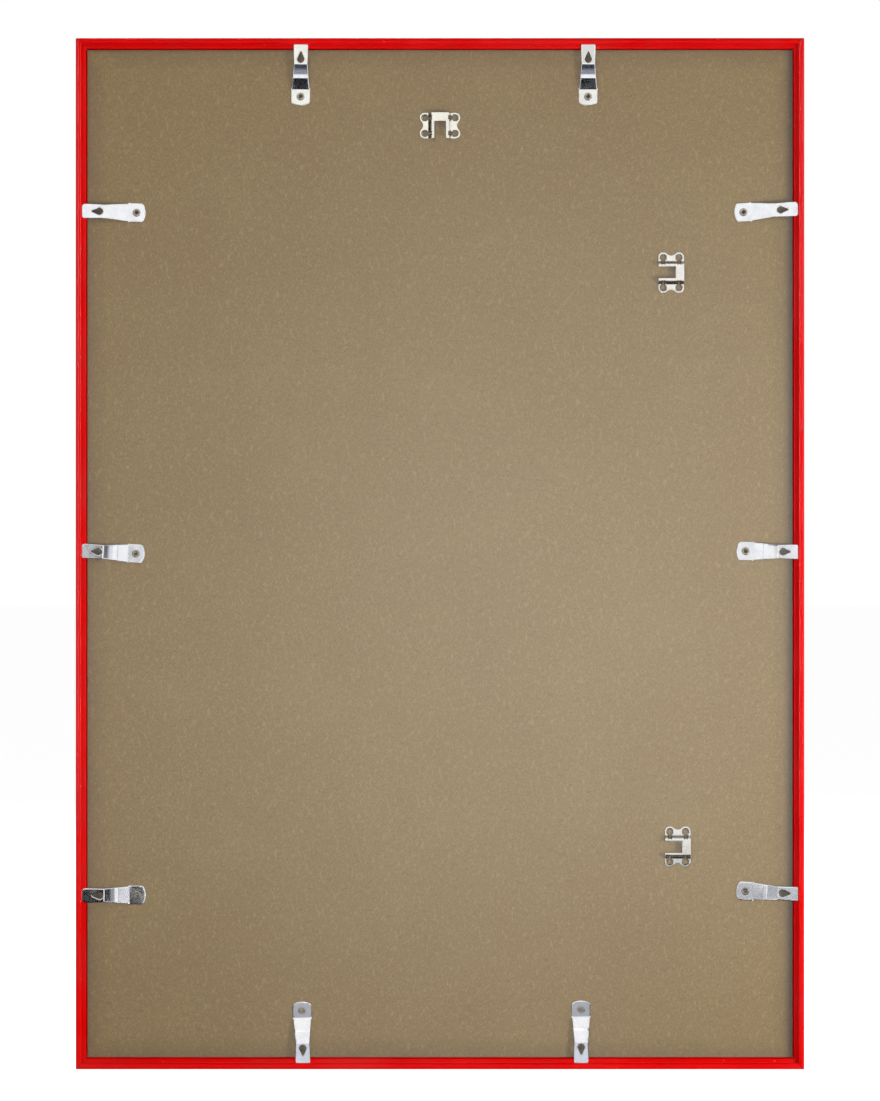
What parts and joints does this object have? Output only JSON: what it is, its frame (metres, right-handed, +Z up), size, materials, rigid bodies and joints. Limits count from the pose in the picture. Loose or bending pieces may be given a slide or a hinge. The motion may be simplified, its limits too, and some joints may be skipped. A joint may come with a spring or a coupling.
{
  "type": "poster frame",
  "caption": "Large upright poster frame with mitred glossy red rails, hardboard back, sprung turn clips on eyelets and pressed bridge hangers.",
  "frame": {"origin": "middle of the bounding box of the frame", "axes": "+Z up as it hangs upright, front faces -Y, back with its clips and hangers faces +Y, +X is on the left of someone who looks at the back"},
  "size_m": [0.722, 0.018, 1.022],
  "materials": {
    "red_plastic": "glossy red",
    "key_plastic": "dark grey, moulded",
    "clear_glazing": "clear and polished",
    "paper": "blank, matt",
    "hardboard": "smooth pressed wood fibre, finely mottled",
    "spring_steel": "bright, zinc plated",
    "eyelet_steel": "nickel plated",
    "pressed_steel": "bright, zinc plated"
  },
  "bodies": {
    "frame": {"rail_right": "red_plastic", "rail_bottom": "red_plastic", "rail_left": "red_plastic", "rail_top": "red_plastic", "corner_key_bottom_right": "key_plastic", "corner_key_bottom_left": "key_plastic", "corner_key_top_left": "key_plastic", "corner_key_top_right": "key_plastic", "glazing": "clear_glazing", "poster_sheet": "paper", "backboard": "hardboard", "hanger_top": "pressed_steel", "hanger_side_upper": "pressed_steel", "hanger_side_lower": "pressed_steel", "eyelet_right_lower": "eyelet_steel", "eyelet_right_middle": "eyelet_steel", "eyelet_right_upper": "eyelet_steel", "eyelet_bottom_left": "eyelet_steel", "eyelet_bottom_right": "eyelet_steel", "eyelet_left_upper": "eyelet_steel", "eyelet_left_middle": "eyelet_steel", "eyelet_left_lower": "eyelet_steel", "eyelet_top_right": "eyelet_steel", "eyelet_top_left": "eyelet_steel"},
    "clip_right_lower": {"clip_right_lower": "spring_steel"},
    "clip_right_middle": {"clip_right_middle": "spring_steel"},
    "clip_right_upper": {"clip_right_upper": "spring_steel"},
    "clip_bottom_left": {"clip_bottom_left": "spring_steel"},
    "clip_bottom_right": {"clip_bottom_right": "spring_steel"},
    "clip_left_upper": {"clip_left_upper": "spring_steel"},
    "clip_left_middle": {"clip_left_middle": "spring_steel"},
    "clip_left_lower": {"clip_left_lower": "spring_steel"},
    "clip_top_right": {"clip_top_right": "spring_steel"},
    "clip_top_left": {"clip_top_left": "spring_steel"}
  },
  "joints": [
    {"name": "clip_right_lower_turn", "type": "hinge", "parent": "frame", "child": "clip_right_lower", "pos_m": [-0.3032, -0.0001, -0.335], "axis": [0, 1, 0], "continuous": true},
    {"name": "clip_right_middle_turn", "type": "hinge", "parent": "frame", "child": "clip_right_middle", "pos_m": [-0.3033, -0.0001, 0.0025], "axis": [0, 1, 0], "continuous": true},
    {"name": "clip_right_upper_turn", "type": "hinge", "parent": "frame", "child": "clip_right_upper", "pos_m": [-0.3012, -0.0001, 0.339], "axis": [0, 1, 0], "continuous": true},
    {"name": "clip_bottom_left_turn", "type": "hinge", "parent": "frame", "child": "clip_bottom_left", "pos_m": [0.137, -0.0001, -0.4538], "axis": [0, 1, 0], "continuous": true},
    {"name": "clip_bottom_right_turn", "type": "hinge", "parent": "frame", "child": "clip_bottom_right", "pos_m": [-0.14, -0.0001, -0.4527], "axis": [0, 1, 0], "continuous": true},
    {"name": "clip_left_upper_turn", "type": "hinge", "parent": "frame", "child": "clip_left_upper", "pos_m": [0.3013, -0.0001, 0.3385], "axis": [0, 1, 0], "continuous": true},
    {"name": "clip_left_middle_turn", "type": "hinge", "parent": "frame", "child": "clip_left_middle", "pos_m": [0.3022, -0.0001, 0], "axis": [0, 1, 0], "continuous": true},
    {"name": "clip_left_lower_turn", "type": "hinge", "parent": "frame", "child": "clip_left_lower", "pos_m": [0.3011, -0.0001, -0.339], "axis": [0, 1, 0], "continuous": true},
    {"name": "clip_top_right_turn", "type": "hinge", "parent": "frame", "child": "clip_top_right", "pos_m": [-0.147, -0.0001, 0.4538], "axis": [0, 1, 0], "continuous": true},
    {"name": "clip_top_left_turn", "type": "hinge", "parent": "frame", "child": "clip_top_left", "pos_m": [0.1385, -0.0001, 0.4538], "axis": [0, 1, 0], "continuous": true}
  ]
}
